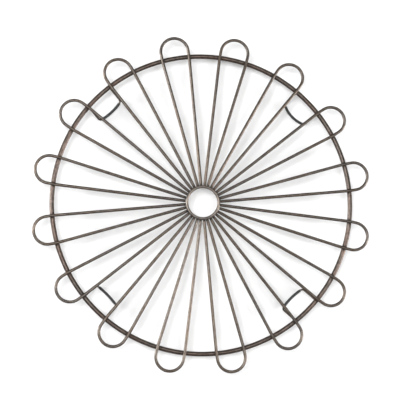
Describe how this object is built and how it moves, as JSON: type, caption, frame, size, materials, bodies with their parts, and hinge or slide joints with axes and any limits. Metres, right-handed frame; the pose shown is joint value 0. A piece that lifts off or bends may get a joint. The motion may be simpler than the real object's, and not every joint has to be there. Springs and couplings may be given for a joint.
{
  "type": "wreath frame",
  "caption": "Flat round wire frame: hairpin wire petals across a thicker rim, a small hub ring in the middle, and sleeved wire feet behind that hold it off a table or wall.",
  "frame": {"origin": "on the hub ring's axis, level with the undersides of the four feet's sleeves, which the frame lies on", "axes": "+Z out of the front, from the feet towards the hub ring; +Y up when it hangs; +X to the right seen from the front"},
  "size_m": [0.3932, 0.3932, 0.0276],
  "materials": {
    "petal_bronze": "antique bronze coating, satin, worn a little lighter on top",
    "rim_bronze": "antique bronze coating, redder and darker than the petals",
    "hub_bronze": "antique bronze coating, paler and more polished",
    "foot_bronze": "antique bronze coating, satin",
    "sleeve_black": "matt charcoal black sleeve"
  },
  "bodies": {
    "root": {"rim": "rim_bronze", "hub_ring": "hub_bronze", "petal_01": "petal_bronze", "petal_02": "petal_bronze", "petal_03": "petal_bronze", "petal_04": "petal_bronze", "petal_05": "petal_bronze", "petal_06": "petal_bronze", "petal_07": "petal_bronze", "petal_08": "petal_bronze", "petal_09": "petal_bronze", "petal_10": "petal_bronze", "petal_11": "petal_bronze", "petal_12": "petal_bronze", "petal_13": "petal_bronze", "petal_14": "petal_bronze", "petal_15": "petal_bronze", "petal_16": "petal_bronze", "foot_upper_right": "foot_bronze", "foot_upper_left": "foot_bronze", "foot_lower_left": "foot_bronze", "foot_lower_right": "foot_bronze", "foot_sleeve_upper_right": "sleeve_black", "foot_sleeve_upper_left": "sleeve_black", "foot_sleeve_lower_left": "sleeve_black", "foot_sleeve_lower_right": "sleeve_black"}
  },
  "joints": []
}
